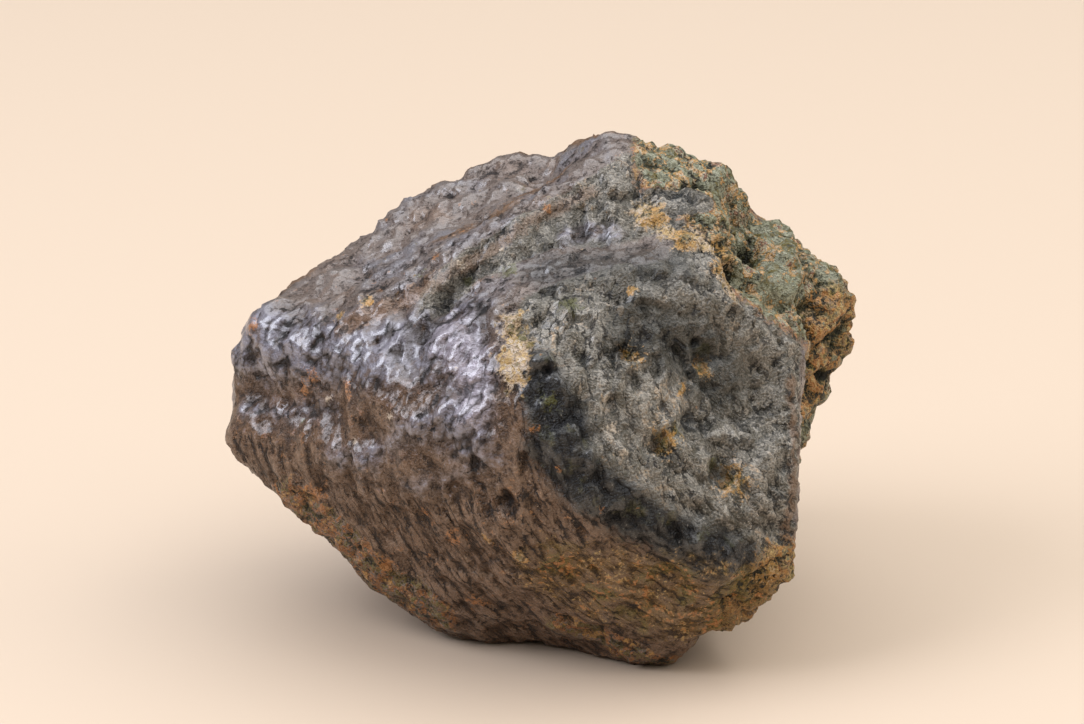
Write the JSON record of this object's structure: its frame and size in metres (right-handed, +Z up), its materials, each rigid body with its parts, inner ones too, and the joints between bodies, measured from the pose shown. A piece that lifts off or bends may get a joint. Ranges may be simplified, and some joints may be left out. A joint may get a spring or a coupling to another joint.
{
  "type": "nakhlite meteorite",
  "caption": "Small wedge-shaped stony meteorite with dark fusion crust and a broken, granular green corner, standing on small flats.",
  "frame": {"origin": "middle of the bounding box at the level of the rest flats", "axes": "+Z up, +X along the longest extent towards the broken end, -Y towards the viewer of the broad dark face"},
  "size_m": [0.0468, 0.0374, 0.0359],
  "materials": {
    "crust": "dark brown to black fusion crust, half glossy, worn; granular olive green and ochre where broken"
  },
  "bodies": {
    "root": {"meteorite": "crust"}
  },
  "joints": []
}
